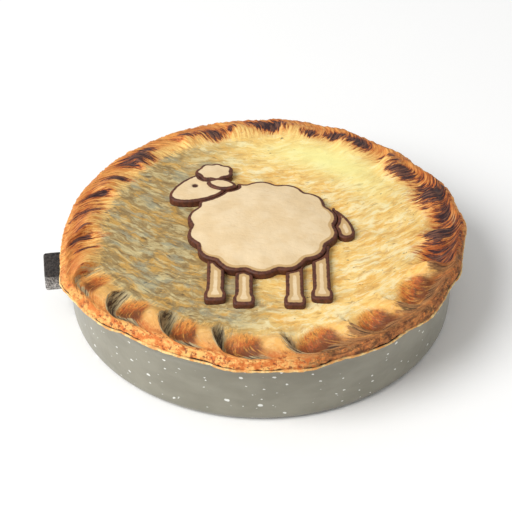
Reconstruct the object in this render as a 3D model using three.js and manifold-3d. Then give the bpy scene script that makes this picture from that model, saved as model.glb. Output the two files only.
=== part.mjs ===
// A round pie baked in a small enamelled dish with one iron lug.
// Its pastry lid has a thick crimped rim, and a sheep cut from pale pastry lies on it.
// Millimetres, +Z up. The origin is the centre of the dish's flat base, the lug points along -X
// and the sheep stands upright along +Y.

import * as THREE from "three";
import { mergeVertices } from "three/addons/utils/BufferGeometryUtils.js";
import Module from "manifold-3d";

const { degToRad, radToDeg, smoothstep, clamp, lerp } = THREE.MathUtils;
const wasm = await Module();
wasm.setup();

// ---------- driving dimensions ----------

const gap = 0.3; // air left between two pieces that touch

const dish = {
  height: 44.5,
  baseRadius: 120.2,
  mouthRadius: 120.8,
  wall: 1.4,
  cornerRadius: 5,
  beadReach: 1.4, // how far the rolled rim stands out from the wall
  beadHeight: 2.6,
  segments: 72,
};

const lug = {
  azimuth: degToRad(188), // a little in front of straight left
  width: 23,
  thickness: 12,
  reach: 136, // from the dish's axis to the lug's end
  topZ: 36,
  cornerRadius: 2,
  padWidth: 29,
  padHeight: 18,
  padThickness: 3,
  bevel: 1,
};

const crust = {
  radius: 124.8, // mean radius of the wavy outer edge
  hugRadius: 124, // inside this radius the edge clings to the dish's rim
  hugShare: 0.2, // and follows only this share of its waves
  droop: 0.4, // how far the edge hangs down outside the dish's rim
  seamDepth: 1.6, // the dark slit between base and lid, seen on the edge
  lidEdgeZ: 50.4, // the lid's height at lidRadius
  lidDome: 3.6, // how much higher the lid is in the middle
  lidRadius: 92,
};

// The outer edge's waves: how many round the pie, how high, and the angle of one crest.
const edgeWaves = [
  [1, 3, -37],
  [2, 1.6, 37],
  [3, 1.5, -34],
  [4, 1.8, 16],
  [5, 0.9, -7],
  [6, 1.1, 24],
  [7, 0.5, 10],
  [18, 0.9, 2.6],
  [31, 0.3, 5],
];

// Thumb crimps: each one is a hollow that rises to a ridge and drops down a steep fold.
const crimp = {
  count: 18,
  firstFold: degToRad(-95.5),
  sweep: degToRad(13), // a deep fold's outer end is this far ahead of its inner end
  sweepCurve: 5, // over 1, a fold runs straight out and hooks round near the edge
  innerReach: 33, // how far in from the outer edge the crimps start
  outerReach: 4,
  ridgeHeight: 6.8,
  ridgeAt: 16,
  ridgeSpread: 8.6,
  hollowDepth: 5,
  hollowAt: 16.5,
  hollowOuterSpread: 5.5,
  hollowInnerSpread: 9,
  lipHeight: 3.2,
  lipAt: 4.6,
  lipSpread: 2.8,
  wander: degToRad(1.6),
  deepestAt: degToRad(-75), // the crimps are deepest in front and flatten out towards the back
  leastDepth: 0.3,
  meanRise: 0.8, // what a flattened crimp levels out to, between hollow and crest
};

// Where one crimp has its points, as shares of its width: they crowd at the fold.
const crimpSteps = [0.03, 0.2, 0.38, 0.55, 0.7, 0.82, 0.9, 0.97];

const sheep = {
  seat: 0.45, // the pieces follow the lid's curve at this height above it
  thickness: 4,
  limbThickness: 3.2,
  bevel: 1.1,
  fleeceCentre: [0.5, -7],
  fleeceRadii: [46, 45],
  fleeceLobes: 14,
  lobeDepth: 3.2,
  fleecePuff: 1.6,
  headCentre: [-40, 32],
  headLength: 40,
  headWidth: 27,
  headTaper: 0.2, // how much narrower the muzzle is than the brow
  headTilt: degToRad(30),
  earRoot: [-35, 37],
  earLength: 21,
  earWidth: 10,
  earTilt: degToRad(-14),
  earLift: 1.2,
  tuftCentre: [-30, 50],
  tuftRadii: [12, 9.5],
  tuftLobes: 7,
  legX: [-27, -10, 20, 36],
  legFootY: [-75, -79, -79.5, -74],
  legHipY: -24,
  legWidth: 10.5,
  footWidth: 13,
  tailRoot: [42, 13],
  tailLength: 33,
  tailWidth: 12.5,
  tailTilt: degToRad(-68),
};

// How many points each outline gets, on a cloud for each of its lobes.
const outlineSteps = { fleeceLobe: 6, tuftLobe: 5, head: 26, leaf: 18, leg: 26 };

// ---------- the crust's form ----------

// Distance from the axis to the crust's outer edge.
function edgeRadius(angle) {
  const free = edgeWaves.reduce(
    (sum, [count, height, crest]) => sum + height * Math.cos(count * (angle - degToRad(crest))),
    crust.radius,
  );
  return free > crust.hugRadius ? free : lerp(crust.hugRadius, free, crust.hugShare);
}

// Height of the lid away from the crimps: a low dome with a shallow swell.
function lidHeight(x, y) {
  const share = Math.hypot(x, y) / crust.lidRadius;
  const swell = 0.4 * Math.sin(x / 19 + 0.8) * Math.cos(y / 17 - 0.5);
  return crust.lidEdgeZ + crust.lidDome * (1 - share * share) + swell * (1 - smoothstep(share, 0.8, 1.2));
}

const bump = (distance, centre, spread) => Math.exp(-(((distance - centre) / spread) ** 2));

// A crimp's own size, so that no two are alike.
function crimpSize(number) {
  return 1 + 0.16 * Math.sin(number * 2.4 + 0.6) + 0.08 * Math.sin(number * 5.3);
}

// How deeply a crimp is pressed, from leastDepth to 1 round the pie.
function crimpDepth(turn) {
  const angle = crimp.firstFold + (2 * Math.PI * turn) / crimp.count;
  return lerp(crimp.leastDepth, 1, (1 + Math.cos(angle - crimp.deepestAt)) / 2);
}

// How high the ridge stands, from 0 in the hollow to 1 on the crest.
// A turn counts crimps: its whole part is the crimp's number and the rest is the place across it.
function crimpRise(turn) {
  const share = turn % 1;
  const rise = smoothstep(share, 0.14, 0.84) * (1 - smoothstep(share, 0.88, 1.02));
  return lerp(crimp.meanRise, rise * crimpSize(Math.floor(turn)), crimpDepth(turn));
}

// The angle at which a turn lies, a given distance in from the outer edge.
function crimpAngle(turn, inset) {
  const reach = clamp((crimp.innerReach - inset) / (crimp.innerReach - crimp.outerReach), 0, 1);
  const even = crimp.firstFold + (2 * Math.PI * turn) / crimp.count;
  const wander = crimp.wander * (Math.sin(3 * even + 1) + 0.6 * Math.sin(7 * even));
  return even - wander + crimpDepth(turn) * crimp.sweep * (reach ** crimp.sweepCurve - 0.5);
}

// Height of the crust's upper face.
function crustHeight(turn, inset) {
  const angle = crimpAngle(turn, inset);
  const radius = edgeRadius(angle) - inset;
  const rise = crimpRise(turn);
  const hollowSpread = inset < crimp.hollowAt ? crimp.hollowOuterSpread : crimp.hollowInnerSpread;
  const lip = crimp.lipHeight * crimpDepth(turn) * bump(inset, crimp.lipAt, crimp.lipSpread);
  const ridge = crimp.ridgeHeight * rise * bump(inset, crimp.ridgeAt, crimp.ridgeSpread);
  const hollow = crimp.hollowDepth * (1 - rise) * bump(inset, crimp.hollowAt, hollowSpread);
  return lidHeight(radius * Math.cos(angle), radius * Math.sin(angle)) + lip + ridge - hollow;
}

// ---------- solids ----------

// A solid of rings, from the middle of its underside round to the middle of its top.
// Each ring gives the place of its point number step.
function ringSolid(rings, steps) {
  const profile = rings.map((_, level) => new THREE.Vector2(1, level));
  const geometry = new THREE.LatheGeometry(profile, steps);
  const points = geometry.attributes.position;
  for (let i = 0; i < points.count; i++) {
    const step = Math.floor(i / rings.length) % steps;
    points.setXYZ(i, ...rings[i % rings.length](step));
  }
  return solidOf(geometry);
}

function solidOf(geometry) {
  geometry.deleteAttribute("normal");
  geometry.deleteAttribute("uv");
  const merged = mergeVertices(geometry);
  return new wasm.Manifold(
    new wasm.Mesh({
      numProp: 3,
      vertProperties: new Float32Array(merged.attributes.position.array),
      triVerts: new Uint32Array(merged.index.array),
    }),
  );
}

function geometryOf(solid) {
  const { vertProperties, triVerts } = solid.getMesh();
  const geometry = new THREE.BufferGeometry();
  geometry.setAttribute("position", new THREE.BufferAttribute(vertProperties, 3));
  geometry.setIndex(new THREE.BufferAttribute(triVerts, 1));
  return geometry;
}

// ---------- dish ----------

const wallRadius = (z) => lerp(dish.baseRadius, dish.mouthRadius, z / dish.height);

// An arc in the profile plane, from one angle to another, as points.
function arcPoints(x, z, radius, from, to, steps) {
  return new THREE.EllipseCurve(x, z, radius, radius, from, to, to < from).getPoints(steps);
}

function dishSolid() {
  const cornerX = dish.baseRadius - dish.cornerRadius;
  const beadZ = dish.height - dish.beadHeight / 2;
  const beadX = dish.mouthRadius + dish.beadReach - dish.beadHeight / 2;
  const profile = [
    new THREE.Vector2(0, 0),
    ...arcPoints(cornerX, dish.cornerRadius, dish.cornerRadius, -Math.PI / 2, 0, 3),
    new THREE.Vector2(wallRadius(dish.height - dish.beadHeight), dish.height - dish.beadHeight),
    ...arcPoints(beadX, beadZ, dish.beadHeight / 2, -Math.PI / 3, Math.PI / 2, 4),
    new THREE.Vector2(dish.mouthRadius - dish.wall, dish.height),
    ...arcPoints(cornerX, dish.cornerRadius, dish.cornerRadius - dish.wall, 0, -Math.PI / 2, 3),
    new THREE.Vector2(0, dish.wall),
  ];
  return solidOf(new THREE.LatheGeometry(profile, dish.segments).rotateX(Math.PI / 2));
}

// ---------- lug ----------

function extrudedUp(shape, bottomZ, height) {
  const { bevel } = lug;
  const geometry = new THREE.ExtrudeGeometry(shape, {
    depth: height - 2 * bevel,
    bevelThickness: bevel,
    bevelSize: bevel,
    bevelOffset: -bevel,
    bevelSegments: 1,
    curveSegments: 5,
  });
  return solidOf(geometry.translate(0, 0, bottomZ + bevel));
}

// A flat tongue on a curved pad that is riveted to the dish's wall.
function lugSolid() {
  const root = dish.baseRadius - 2;
  const half = lug.width / 2;
  const corner = lug.cornerRadius;
  const tongue = new THREE.Shape()
    .moveTo(root, -half)
    .lineTo(lug.reach - corner, -half)
    .absarc(lug.reach - corner, -half + corner, corner, -Math.PI / 2, 0)
    .absarc(lug.reach - corner, half - corner, corner, 0, Math.PI / 2)
    .lineTo(root, half);
  const padAngle = lug.padWidth / 2 / dish.baseRadius;
  const pad = new THREE.Shape()
    .absarc(0, 0, root, padAngle, -padAngle, true)
    .absarc(0, 0, dish.mouthRadius + lug.padThickness, -padAngle, padAngle, false);
  const tongueZ = lug.topZ - lug.thickness;
  const padZ = lug.topZ - lug.thickness / 2 - lug.padHeight / 2;
  const joined = extrudedUp(tongue, tongueZ, lug.thickness).add(extrudedUp(pad, padZ, lug.padHeight));
  const clearance = [
    new THREE.Vector2(0, 0),
    new THREE.Vector2(wallRadius(0) + gap, 0),
    new THREE.Vector2(wallRadius(dish.height) + gap, dish.height),
    new THREE.Vector2(0, dish.height),
  ];
  const dishBulk = solidOf(new THREE.LatheGeometry(clearance, dish.segments).rotateX(Math.PI / 2));
  return joined.rotate([0, 0, radToDeg(lug.azimuth)]).subtract(dishBulk);
}

// ---------- pie: filling, base and lid are one solid that fills the dish ----------

function pieSolid() {
  const steps = crimp.count * crimpSteps.length;
  const turnOf = (step) => Math.floor(step / crimpSteps.length) + crimpSteps[step % crimpSteps.length];
  const at = (angle, radius, z) => [radius * Math.cos(angle), radius * Math.sin(angle), z];

  const floorZ = dish.wall + gap;
  const filletRadius = dish.cornerRadius - dish.wall - gap;
  const insideMouth = dish.mouthRadius - dish.wall - gap;
  const outsideBead = dish.mouthRadius + dish.beadReach + gap;
  const rimZ = dish.height + gap;
  const drop = (angle) => crust.droop * smoothstep(edgeRadius(angle), outsideBead + 0.4, outsideBead + 2.4);

  const middle = (z) => () => [0, 0, z];
  const flat = (radius, z) => (step) => at(crimpAngle(turnOf(step), 0), radius, z);
  const lip = (reach, inset, sag) => (step) => {
    const angle = crimpAngle(turnOf(step), 0);
    return at(angle, Math.min(outsideBead + reach, edgeRadius(angle) - inset), rimZ - sag * drop(angle));
  };
  const edge = (inset, share) => (step) => {
    const turn = turnOf(step);
    const angle = crimpAngle(turn, 0);
    return at(angle, edgeRadius(angle) - inset, lerp(rimZ - drop(angle), crustHeight(turn, 1), share));
  };
  const top = (inset) => (step) => {
    const turn = turnOf(step);
    const angle = crimpAngle(turn, inset);
    return at(angle, edgeRadius(angle) - inset, crustHeight(turn, inset));
  };

  const fillet = arcPoints(dish.baseRadius - dish.cornerRadius, dish.cornerRadius, filletRadius, -Math.PI / 2, 0, 2);
  const topInsets = [1, 2.8, 4.8, 7, 9.4, 12.2, 15.6, 19.4, 23.6, 28, 33, 46, 66, 94];
  return ringSolid(
    [
      middle(floorZ),
      ...fillet.map((p) => flat(p.x, p.y)),
      flat(insideMouth, rimZ),
      lip(0, 1.4, 0),
      lip(0.4, 1.1, 1),
      edge(0.6, 0),
      edge(0, 0.14),
      edge(0.2, 0.3),
      edge(crust.seamDepth, 0.4),
      edge(0.2, 0.54),
      ...topInsets.map(top),
      middle(lidHeight(0, 0)),
    ],
    steps,
  );
}

// ---------- sheep: pieces of rolled pastry that lie on the lid ----------

// A pastry piece cut to an outline, lying on the lid. With grow it is the cutter for its neighbours:
// wider by that much, and tall enough to cut right through.
function pastryPiece({ outline, centre, thickness, puff = 0, grow = 0 }) {
  const { bevel, seat } = sheep;
  const count = outline.length;
  const place = (step, share, inset, z) => {
    const [before, here, after] = [step + count - 1, step, step + 1].map((i) => outline[i % count]);
    const side = new THREE.Vector2(after.y - before.y, before.x - after.x).normalize();
    const x = lerp(centre[0], here.x - side.x * inset, share);
    const y = lerp(centre[1], here.y - side.y * inset, share);
    return [x, y, z + seat + lidHeight(x, y)];
  };
  const ring = (share, inset, z) => (step) => place(step, share, inset - grow, z);
  const bottom = grow ? -3 : 0;
  const top = grow ? thickness + 6 : thickness;
  return ringSolid(
    [
      ring(0, 0, bottom),
      ring(0.55, 0, bottom),
      ring(1, 0, bottom),
      ring(1, 0, top - bevel),
      ring(1, 0.3 * bevel, top - 0.3 * bevel),
      ring(1, bevel, top),
      ring(0.6, bevel, top + puff),
      ring(0, 0, top + puff),
    ],
    count,
  );
}

// A shape's outline as evenly spaced points, anticlockwise.
function outlineOf(shape, count) {
  const points = shape.getSpacedPoints(count).slice(0, count);
  return THREE.ShapeUtils.isClockWise(points) ? points.reverse() : points;
}

// An oval with scallops all round.
function cloudOutline([x, y], [a, b], lobes, depth, stepsPerLobe) {
  const count = lobes * stepsPerLobe;
  return Array.from({ length: count }, (_, i) => {
    const angle = (2 * Math.PI * i) / count;
    const oval = (a * b) / Math.hypot(b * Math.cos(angle), a * Math.sin(angle));
    const lobe = Math.abs(Math.sin((lobes * angle) / 2)) - 0.6;
    const radius = oval + depth * lobe + 0.015 * a * Math.sin(3 * angle + 1);
    return new THREE.Vector2(x + radius * Math.cos(angle), y + radius * Math.sin(angle));
  });
}

// An oval that narrows towards the muzzle.
function headOutline() {
  return Array.from({ length: outlineSteps.head }, (_, i) => {
    const angle = (2 * Math.PI * i) / outlineSteps.head;
    const width = sheep.headWidth * (1 + sheep.headTaper * Math.cos(angle));
    return new THREE.Vector2((sheep.headLength / 2) * Math.cos(angle), (width / 2) * Math.sin(angle))
      .rotateAround(new THREE.Vector2(), sheep.headTilt)
      .add(new THREE.Vector2(...sheep.headCentre));
  });
}

// A leaf from its root, pointed for the ear and blunt for the tail.
function leafOutline([x, y], length, width, tilt, shoulder) {
  const at = (along, across) => [
    x + along * Math.cos(tilt) - across * Math.sin(tilt),
    y + along * Math.sin(tilt) + across * Math.cos(tilt),
  ];
  const bulge = 0.75 * width;
  const shape = new THREE.Shape()
    .moveTo(...at(0, 0))
    .bezierCurveTo(...at(0.2 * length, bulge), ...at(shoulder * length, bulge), ...at(length, 0))
    .bezierCurveTo(...at(shoulder * length, -bulge), ...at(0.2 * length, -bulge), ...at(0, 0));
  return outlineOf(shape, outlineSteps.leaf);
}

function legOutline(number) {
  const x = sheep.legX[number];
  const footY = sheep.legFootY[number];
  const top = sheep.legWidth / 2;
  const foot = sheep.footWidth / 2;
  const round = 2.5;
  const footHeight = 7;
  const ankle = 9;
  const shape = new THREE.Shape()
    .moveTo(x + top, sheep.legHipY)
    .lineTo(x - top, sheep.legHipY)
    .lineTo(x - top, footY + ankle)
    .quadraticCurveTo(x - foot, footY + footHeight, x - foot, footY + round)
    .quadraticCurveTo(x - foot, footY, x - foot + round, footY)
    .lineTo(x + foot - round, footY)
    .quadraticCurveTo(x + foot, footY, x + foot, footY + round)
    .quadraticCurveTo(x + foot, footY + footHeight, x + top, footY + ankle)
    .lineTo(x + top, sheep.legHipY);
  return outlineOf(shape, outlineSteps.leg);
}

const middleOf = ([x, y], length, tilt) => [
  x + (length / 2) * Math.cos(tilt),
  y + (length / 2) * Math.sin(tilt),
];

const pieces = {
  fleece: {
    outline: cloudOutline(
      sheep.fleeceCentre,
      sheep.fleeceRadii,
      sheep.fleeceLobes,
      sheep.lobeDepth,
      outlineSteps.fleeceLobe,
    ),
    centre: sheep.fleeceCentre,
    thickness: sheep.thickness,
    puff: sheep.fleecePuff,
  },
  head: { outline: headOutline(), centre: sheep.headCentre, thickness: sheep.thickness },
  ear: {
    outline: leafOutline(sheep.earRoot, sheep.earLength, sheep.earWidth, sheep.earTilt, 0.75),
    centre: middleOf(sheep.earRoot, sheep.earLength, sheep.earTilt),
    thickness: sheep.thickness + sheep.earLift,
  },
  tuft: {
    outline: cloudOutline(
      sheep.tuftCentre,
      sheep.tuftRadii,
      sheep.tuftLobes,
      sheep.lobeDepth / 2,
      outlineSteps.tuftLobe,
    ),
    centre: sheep.tuftCentre,
    thickness: sheep.thickness,
  },
  tail: {
    outline: leafOutline(sheep.tailRoot, sheep.tailLength, sheep.tailWidth, sheep.tailTilt, 1.05),
    centre: middleOf(sheep.tailRoot, sheep.tailLength, sheep.tailTilt),
    thickness: sheep.limbThickness,
  },
};

const cutter = (piece) => pastryPiece({ ...piece, grow: gap + 0.1 });

// ---------- the object ----------

const materials = {
  enamel: new THREE.MeshStandardMaterial({ color: 0xa9a698, roughness: 0.35, metalness: 0 }),
  iron: new THREE.MeshStandardMaterial({ color: 0x4b4642, roughness: 0.7, metalness: 0.3 }),
  bakedPastry: new THREE.MeshStandardMaterial({ color: 0xd9a860, roughness: 0.65, metalness: 0 }),
  palePastry: new THREE.MeshStandardMaterial({ color: 0xeed3a9, roughness: 0.6, metalness: 0 }),
};

const object = new THREE.Group();

function addNode(name, solid, material) {
  const mesh = new THREE.Mesh(geometryOf(solid), material);
  mesh.name = name;
  mesh.geometry.computeVertexNormals();
  object.add(mesh);
}

const fleeceCutter = cutter(pieces.fleece);
const headCutter = cutter(pieces.head).add(cutter(pieces.ear));
const tuftCutter = cutter(pieces.tuft);

addNode("dish", dishSolid(), materials.enamel);
addNode("lug", lugSolid(), materials.iron);
addNode("pie", pieSolid(), materials.bakedPastry);
addNode("sheep_fleece", pastryPiece(pieces.fleece).subtract(headCutter).subtract(tuftCutter), materials.palePastry);
addNode("sheep_head", pastryPiece(pieces.head).add(pastryPiece(pieces.ear)).subtract(tuftCutter), materials.palePastry);
addNode("sheep_tuft", pastryPiece(pieces.tuft), materials.palePastry);
addNode("sheep_tail", pastryPiece(pieces.tail).subtract(fleeceCutter), materials.palePastry);
sheep.legX.forEach((x, number) => {
  const centre = [x, (sheep.legHipY + sheep.legFootY[number]) / 2];
  const leg = pastryPiece({ outline: legOutline(number), centre, thickness: sheep.limbThickness });
  addNode(`sheep_leg_${number + 1}`, leg.subtract(fleeceCutter), materials.palePastry);
});

export default object;
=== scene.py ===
import math

import bmesh
import bpy
import numpy as np
from mathutils import Matrix, Vector, noise


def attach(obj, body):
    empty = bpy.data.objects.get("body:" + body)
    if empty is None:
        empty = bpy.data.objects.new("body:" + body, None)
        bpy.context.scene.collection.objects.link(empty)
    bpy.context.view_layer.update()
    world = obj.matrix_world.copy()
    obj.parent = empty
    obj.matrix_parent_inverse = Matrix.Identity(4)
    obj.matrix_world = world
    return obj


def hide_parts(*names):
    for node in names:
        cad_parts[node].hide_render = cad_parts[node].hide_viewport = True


# A crimped pie in its enamelled dish. Shapes are worked out in millimetres and scaled to metres once,
# when a piece is finished.

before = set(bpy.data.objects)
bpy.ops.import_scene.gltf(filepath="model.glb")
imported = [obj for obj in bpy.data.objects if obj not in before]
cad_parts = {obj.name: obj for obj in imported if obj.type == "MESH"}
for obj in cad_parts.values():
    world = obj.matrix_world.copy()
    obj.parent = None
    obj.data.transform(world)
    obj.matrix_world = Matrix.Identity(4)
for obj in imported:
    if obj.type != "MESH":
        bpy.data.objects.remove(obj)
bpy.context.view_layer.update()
print(f"frame loaded: {len(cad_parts)} nodes")

mm = 0.001
tau = 2 * math.pi


# sums on whole arrays

def blendBetween(low, high, share):
    return low + (high - low) * share


def smoothStep(value, low, high):
    share = np.clip((value - low) / (high - low), 0, 1)
    return share * share * (3 - 2 * share)


def bump(distance, centre, spread):
    return np.exp(-(((distance - centre) / spread) ** 2))


def onCircle(radius, angle):
    return radius * np.cos(angle), radius * np.sin(angle)


def noiseAt(points, size, octaves=3, seed=0):
    # fractal noise of about -1 to 1; size is the lumps' size in mm, which may differ along x, y and z
    scaled = np.asarray(points) / np.asarray(size) + 17.3 * seed
    return np.array([noise.fractal(Vector(place), 1.0, 2.0, octaves) for place in scaled])


# meshes

def meshFrom(bm, name):
    bmesh.ops.recalc_face_normals(bm, faces=bm.faces[:])
    mesh = bpy.data.meshes.new(name)
    bm.to_mesh(mesh)
    bm.free()
    return mesh


def readVectors(items, name):
    vectors = np.empty(len(items) * 3, np.float32)
    items.foreach_get(name, vectors)
    return vectors.reshape(-1, 3).astype(float)


def writePoints(mesh, points):
    mesh.vertices.foreach_set("co", points.astype(np.float32).ravel())
    mesh.update()


def storeMask(mesh, name, values):
    layer = mesh.attributes.new(name, "FLOAT", "POINT")
    layer.data.foreach_set("value", np.asarray(values, np.float32))


def storeVector(mesh, name, vectors):
    layer = mesh.attributes.new(name, "FLOAT_VECTOR", "POINT")
    layer.data.foreach_set("vector", np.asarray(vectors, np.float32).ravel())


def spinProfile(profile, steps, sectors):
    # turns an open profile of (radius, height) about the axis: one sector, and then its copies
    bm = bmesh.new()
    ringLayer = bm.verts.layers.int.new("ring")
    corners = [bm.verts.new((radius, 0, height)) for radius, height in profile]
    for ring, corner in enumerate(corners):  # a vertex keeps its place in the profile as ring
        corner[ringLayer] = ring
    for first, second in zip(corners, corners[1:]):
        bm.edges.new((first, second))
    line = bm.verts[:] + bm.edges[:]
    axis = {"cent": (0, 0, 0), "axis": (0, 0, 1)}
    bmesh.ops.spin(bm, geom=line, angle=tau / sectors, steps=steps // sectors, **axis)
    sector = bm.verts[:] + bm.edges[:] + bm.faces[:]
    rest = tau * (sectors - 1) / sectors
    bmesh.ops.spin(bm, geom=sector, angle=rest, steps=sectors - 1, use_duplicate=True, **axis)
    bmesh.ops.remove_doubles(bm, verts=bm.verts[:], dist=1e-3)
    return bm


def sliceAt(bm, place, normal):
    # cuts a mesh wherever a plane crosses it
    everything = bm.verts[:] + bm.edges[:] + bm.faces[:]
    bmesh.ops.bisect_plane(bm, geom=everything, dist=1e-3, plane_co=place, plane_no=normal)


def addToScene(name, data):
    thing = bpy.data.objects.new(name, data)
    bpy.context.scene.collection.objects.link(thing)
    return thing


def finishPiece(name, mesh, material, node):
    mesh.transform(Matrix.Scale(mm, 4))
    mesh.polygons.foreach_set("use_smooth", np.ones(len(mesh.polygons), bool))
    mesh.materials.append(material)
    mesh.update()
    piece = addToScene(name, mesh)
    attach(piece, "root")
    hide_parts(node)
    print(f"{name}: {sum(len(face.vertices) - 2 for face in mesh.polygons)} triangles")


# materials

class Value:
    # a socket that plain arithmetic works on
    def __init__(self, paint, socket):
        self.paint = paint
        self.socket = socket

    def maths(self, operation, *values):
        return self.paint.node("ShaderNodeMath", {"operation": operation}, dict(enumerate(values)))

    def __add__(self, other):
        return self.maths("ADD", self, other)

    def __sub__(self, other):
        return self.maths("SUBTRACT", self, other)

    def __rsub__(self, other):
        return self.maths("SUBTRACT", other, self)

    def __mul__(self, other):
        return self.maths("MULTIPLY", self, other)

    def __truediv__(self, other):
        return self.maths("DIVIDE", self, other)

    __radd__ = __add__
    __rmul__ = __mul__


class Paint:
    # one material and its nodes
    def __init__(self, name):
        self.material = bpy.data.materials.new(name)
        self.material.use_nodes = True
        self.tree = self.material.node_tree
        self.shader = self.tree.nodes["Principled BSDF"]

    def feed(self, socket, value):
        if isinstance(value, Value):
            self.tree.links.new(value.socket, socket)
        else:
            socket.default_value = value

    def node(self, kind, settings, inputs, output=0):
        made = self.tree.nodes.new(kind)
        for setting, value in settings.items():
            setattr(made, setting, value)
        for place, value in inputs.items():
            self.feed(made.inputs[place], value)
        return Value(self, made.outputs[output])

    def attribute(self, name, output="Fac"):
        return self.node("ShaderNodeAttribute", {"attribute_name": name}, {}, output)

    def vectorMaths(self, operation, first, second):
        return self.node("ShaderNodeVectorMath", {"operation": operation}, {0: first, 1: second})

    def objectPlace(self):
        # Object coordinates in millimetres
        place = self.node("ShaderNodeTexCoord", {}, {}, "Object")
        return self.vectorMaths("MULTIPLY", place, (1 / mm, 1 / mm, 1 / mm))

    def axes(self, vector):
        return [self.node("ShaderNodeSeparateXYZ", {}, {0: vector}, axis) for axis in "XYZ"]

    def noise(self, vector, size, detail=3.0, roughness=0.55, output="Fac"):
        place = self.vectorMaths("DIVIDE", vector, size)
        inputs = {"Vector": place, "Scale": 1.0, "Detail": detail, "Roughness": roughness}
        return self.node("ShaderNodeTexNoise", {}, inputs, output)

    def drifted(self, vector, size, reach):
        # the vector, carried off by a soft noise: up to about a third of reach
        drift = self.noise(vector, (size, size, size), 2.0, output="Color")
        drift = self.vectorMaths("SUBTRACT", drift, (0.5, 0.5, 0.5))
        return self.vectorMaths("ADD", vector, self.vectorMaths("MULTIPLY", drift, reach))

    def step(self, value, low, high):
        # 0 at low and 1 at high, also where low is the larger
        inputs = {"Value": value, "From Min": low, "From Max": high}
        return self.node("ShaderNodeMapRange", {"interpolation_type": "SMOOTHSTEP"}, inputs)

    def mix(self, share, first, second):
        return self.node("ShaderNodeMix", {"data_type": "RGBA"}, {0: share, 6: first, 7: second}, 2)

    def over(self, under, colour, amount, value, low, high):
        # a colour laid over another, from nothing where the value is low to the amount where it is high
        return self.mix(self.step(value, low, high) * amount, under, colour)

    def relief(self, height, distance):
        return self.node("ShaderNodeBump", {}, {"Height": height, "Distance": distance})

    def finish(self, **sockets):
        for place, value in sockets.items():
            self.feed(self.shader.inputs[place.replace("_", " ")], value)
        return self.material


def tint(red, green, blue):
    # a colour as it shows on a screen, 0 to 255, made linear for the shader
    parts = (red / 255, green / 255, blue / 255)
    linear = [part / 12.92 if part <= 0.04045 else ((part + 0.055) / 1.055) ** 2.4 for part in parts]
    return (*linear, 1.0)


# crust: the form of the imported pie, with what a coarse solid can't hold

dish = {
    "height": 44.5,
    "baseRadius": 120.2,
    "mouthRadius": 120.8,
    "wall": 1.4,
    "cornerRadius": 5.0,
    "beadReach": 1.4,  # how far the rolled rim stands out from the wall
    "beadHeight": 2.6,
    "gap": 0.3,  # air between the dish and what touches it
    "columns": 288,
}

crust = {
    "radius": 124.8,
    "hugRadius": 124.0,  # inside this radius the edge clings to the dish's rim
    "hugShare": 0.2,  # and follows only this share of its waves
    "droop": 0.4,  # how far the edge hangs down outside the dish's rim
    "droopFrom": (2.1, 4.1),  # past the dish's mouth
    "lidEdgeZ": 50.4,
    "lidDome": 3.6,
    "lidRadius": 92.0,
    "columnsPerCrimp": 54,
    "crowding": 0.45,  # how closely columns crowd at the folds, below 1
    "edgeRings": 14,
    # rings across the top: from, to and spacing, in from the edge
    "ringSpans": ((2.7, 38, 0.72), (38.5, 70, 2.3), (72, 96, 4.5), (102, 114, 11)),
    "edgeHeight": 4.0,  # before it is crimped
    "edgeRound": 1.3,
    "footRound": 0.8,
    "footOverhang": 1.6,
    "layerStep": 0.7,  # how far the lower layer stands out past the upper one
    "slitDepth": 2.2,
    "slitAt": 0.42,  # a share of the edge's height, as its wander and width are
    "slitWander": 0.07,
    "slitWidth": 0.08,
    "wrinkleHeight": 0.45,
    "foldLineHeight": 0.5,
    "hollowLineHeight": 0.4,
    "flakeHeight": 0.6,
    "lidLumpHeight": 0.4,
    "slant": 0.45,  # how far streaks at the sides and back turn off the radius
    "slantFrom": 14.0,
    "slantTo": 40.0,
    "flowRadius": 125.0,  # of the round that streaks are laid out on
}

edgeWaves = [  # count round the pie, height, and a crest's direction in degrees
    (1, 3.0, -37),
    (2, 1.6, 37),
    (3, 1.5, -34),
    (4, 1.8, 16),
    (5, 0.9, -7),
    (6, 1.1, 24),
    (7, 0.5, 10),
    (18, 0.9, 2.6),
    (31, 0.3, 5),
]

crimp = {
    "count": 18,
    "firstFold": math.radians(-95.5),
    "sweep": math.radians(13),  # how far a fold's outer end is swept round
    "sweepCurve": 5.0,
    "innerReach": 33.0,
    "outerReach": 4.0,
    "ridgeHeight": 6.8,
    "ridgeAt": 16.0,
    "ridgeSpread": 8.6,
    "hollowDepth": 5.0,
    "hollowAt": 16.5,
    "hollowOuterSpread": 5.5,
    "hollowInnerSpread": 9.0,
    "lipHeight": 3.2,
    "lipAt": 4.6,
    "lipSpread": 2.8,
    "wander": math.radians(1.6),
    "deepestAt": math.radians(-75),
    "leastDepth": 0.3,
    "meanRise": 0.8,
    "lean": 0.5,  # how far a crest leans over its fold
    "spacing": 43.0,  # from fold to fold, along the rim
}

# among these are the painted shade in the folds and a painted highlight at the back right of the lid
bake = {  # where each finish lies, in mm in from the edge where no other unit is given
    "rim": (4, 34),
    "lip": (4, 8),
    "pressed": (0.55, 0.85),  # the depth of a crimp that counts as pressed
    "darkRightFrontFrom": (-95, -60),  # degrees round the pie
    "darkRightFrontTo": (-15, 12),
    "hollowInset": 18.0,
    "hollowShare": 0.36,  # of the way across a crimp
    "hollowReach": (5, 16),
    # the folds' painted shade, with its tail as painted shadow along the lip
    "foldTaper": (6, 24),
    "foldStart": (5.5, 9),
    "foldEnd": (22, 34),
    "tailInset": 8.5,
    "tailSpread": 2.6,
    "darkEdgeInset": 7.0,
    "darkEdgeSpread": 4.5,
    "crestInset": 17.0,
    "crestSpread": 9.0,
    # a painted highlight: where it lies round the pie and how far in
    "paintedHighlightDirection": 58.0,  # degrees round the pie
    "paintedHighlightBreadth": 32.0,
    "paintedHighlightRadius": 84.0,
    "paintedHighlightSpread": 17.0,
}

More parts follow.
